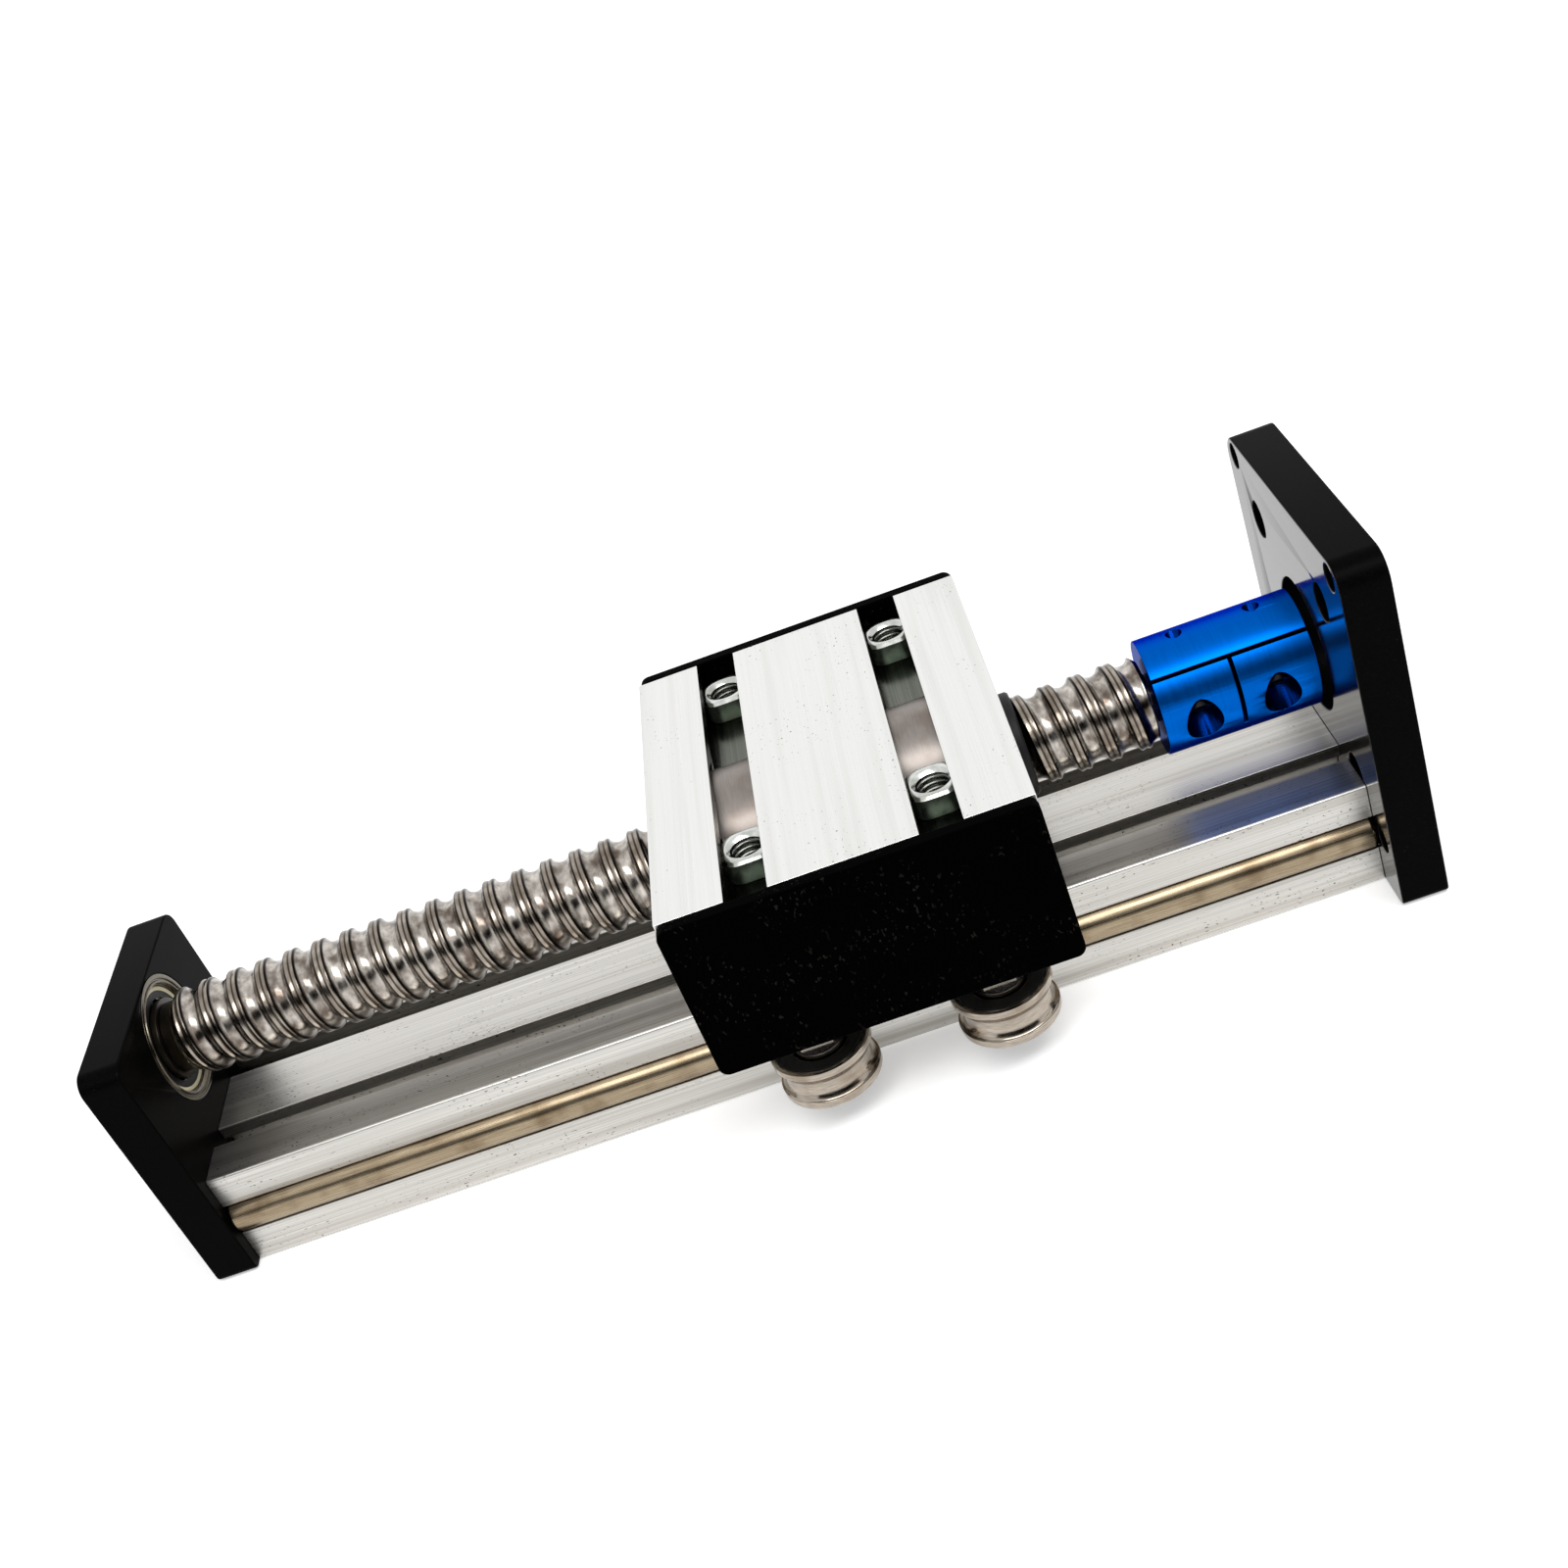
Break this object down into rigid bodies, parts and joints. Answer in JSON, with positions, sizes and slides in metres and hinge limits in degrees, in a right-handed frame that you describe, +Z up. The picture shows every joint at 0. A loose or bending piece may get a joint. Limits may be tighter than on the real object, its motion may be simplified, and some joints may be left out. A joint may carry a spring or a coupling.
{
  "type": "ball screw linear module",
  "caption": "Slotted carriage on grooved rollers, driven along a slotted aluminium profile by a ball screw between two end plates, with a clamp coupling for a flanged motor.",
  "frame": {"origin": "middle of the base profile's flat underside, half way between the inner faces of the two end plates", "axes": "+X along the screw from the bearing plate to the motor plate, +Z up, +Y to the side away from the viewer of the picture"},
  "size_m": [0.2118, 0.0786, 0.0605],
  "materials": {
    "drawn_aluminium": "bare drawn aluminium with fine lines along its length",
    "satin_aluminium": "bare satin aluminium with faint lines across the carriage",
    "black_anodised": "glossy black anodising",
    "blue_anodised": "bright blue anodising",
    "black_cover": "smooth black",
    "rod_steel": "hardened ground steel with a tan tint",
    "screw_steel": "polished steel",
    "nut_steel": "ground steel",
    "bearing_steel": "ground steel",
    "roller_steel": "turned steel",
    "spacer_steel": "turned steel",
    "ball_steel": "polished steel",
    "zinc_steel": "zinc plated",
    "black_screw": "black oxide",
    "bearing_shield": "cream plastic",
    "black_rubber": "black rubber"
  },
  "bodies": {
    "base": {"base_profile": "drawn_aluminium", "guide_rod_near": "rod_steel", "guide_rod_far": "rod_steel", "bearing_plate": "black_anodised", "bearing_plate_screws": "black_screw", "bearing_outer_ring": "bearing_steel", "bearing_shields": "bearing_shield", "motor_plate": "black_anodised", "motor_plate_screws": "black_screw"},
    "screw": {"ball_screw": "screw_steel", "bearing_inner_ring": "bearing_steel", "bearing_balls": "ball_steel", "end_washer": "zinc_steel", "end_screw": "black_screw", "coupling": "blue_anodised", "coupling_screws": "black_screw"},
    "carriage": {"carriage_block": "satin_aluminium", "cover_near": "black_cover", "cover_far": "black_cover", "ball_nut": "nut_steel", "nut_wipers": "black_rubber", "nut_balls": "ball_steel", "ball_returns": "nut_steel", "nut_set_screws": "black_screw", "roller_bolts": "black_screw", "roller_foot_nuts": "zinc_steel", "fixed_spacers": "spacer_steel", "eccentric_spacers": "spacer_steel", "roller_inner_rings": "roller_steel", "roller_balls": "ball_steel"},
    "roller_near_left_wheel": {"roller_near_left": "roller_steel", "roller_near_left_seals": "black_rubber"},
    "roller_near_right_wheel": {"roller_near_right": "roller_steel", "roller_near_right_seals": "black_rubber"},
    "roller_far_left_wheel": {"roller_far_left": "roller_steel", "roller_far_left_seals": "black_rubber"},
    "roller_far_right_wheel": {"roller_far_right": "roller_steel", "roller_far_right_seals": "black_rubber"},
    "slot_nut_near_left_piece": {"slot_nut_near_left": "zinc_steel"},
    "slot_nut_near_right_piece": {"slot_nut_near_right": "zinc_steel"},
    "slot_nut_far_left_piece": {"slot_nut_far_left": "zinc_steel"},
    "slot_nut_far_right_piece": {"slot_nut_far_right": "zinc_steel"}
  },
  "joints": [
    {"name": "screw_spin", "type": "hinge", "parent": "base", "child": "screw", "pos_m": [0, 0, 0.034], "axis": [1, 0, 0], "range_deg": [-1300, 5910]},
    {"name": "carriage_slide", "type": "slide", "parent": "base", "child": "carriage", "axis": [1, 0, 0], "range_m": [-0.082, 0.018]},
    {"name": "roller_near_left_spin", "type": "hinge", "parent": "carriage", "child": "roller_near_left_wheel", "pos_m": [0.00495, -0.0289, 0.0095], "axis": [0, 0, 1], "range_deg": [-650, 145]},
    {"name": "roller_near_right_spin", "type": "hinge", "parent": "carriage", "child": "roller_near_right_wheel", "pos_m": [0.03435, -0.0289, 0.0095], "axis": [0, 0, 1], "range_deg": [-650, 145]},
    {"name": "roller_far_left_spin", "type": "hinge", "parent": "carriage", "child": "roller_far_left_wheel", "pos_m": [0.00495, 0.0289, 0.0095], "axis": [0, 0, 1], "range_deg": [-145, 650]},
    {"name": "roller_far_right_spin", "type": "hinge", "parent": "carriage", "child": "roller_far_right_wheel", "pos_m": [0.03435, 0.0289, 0.0095], "axis": [0, 0, 1], "range_deg": [-145, 650]},
    {"name": "slot_nut_near_left_slide", "type": "slide", "parent": "carriage", "child": "slot_nut_near_left_piece", "axis": [0, 1, 0], "range_m": [-0.0118, 0.0056]},
    {"name": "slot_nut_near_right_slide", "type": "slide", "parent": "carriage", "child": "slot_nut_near_right_piece", "axis": [0, 1, 0], "range_m": [-0.0118, 0.0056]},
    {"name": "slot_nut_far_left_slide", "type": "slide", "parent": "carriage", "child": "slot_nut_far_left_piece", "axis": [0, 1, 0], "range_m": [-0.0156, 0.002]},
    {"name": "slot_nut_far_right_slide", "type": "slide", "parent": "carriage", "child": "slot_nut_far_right_piece", "axis": [0, 1, 0], "range_m": [-0.0156, 0.002]}
  ],
  "couplings": [
    {"joint": "screw_spin", "follows": "carriage_slide", "rad_per_m": -1256.6},
    {"joint": "roller_near_left_spin", "follows": "carriage_slide", "rad_per_m": 137.55},
    {"joint": "roller_near_right_spin", "follows": "carriage_slide", "rad_per_m": 137.55},
    {"joint": "roller_far_left_spin", "follows": "carriage_slide", "rad_per_m": -137.55},
    {"joint": "roller_far_right_spin", "follows": "carriage_slide", "rad_per_m": -137.55}
  ]
}
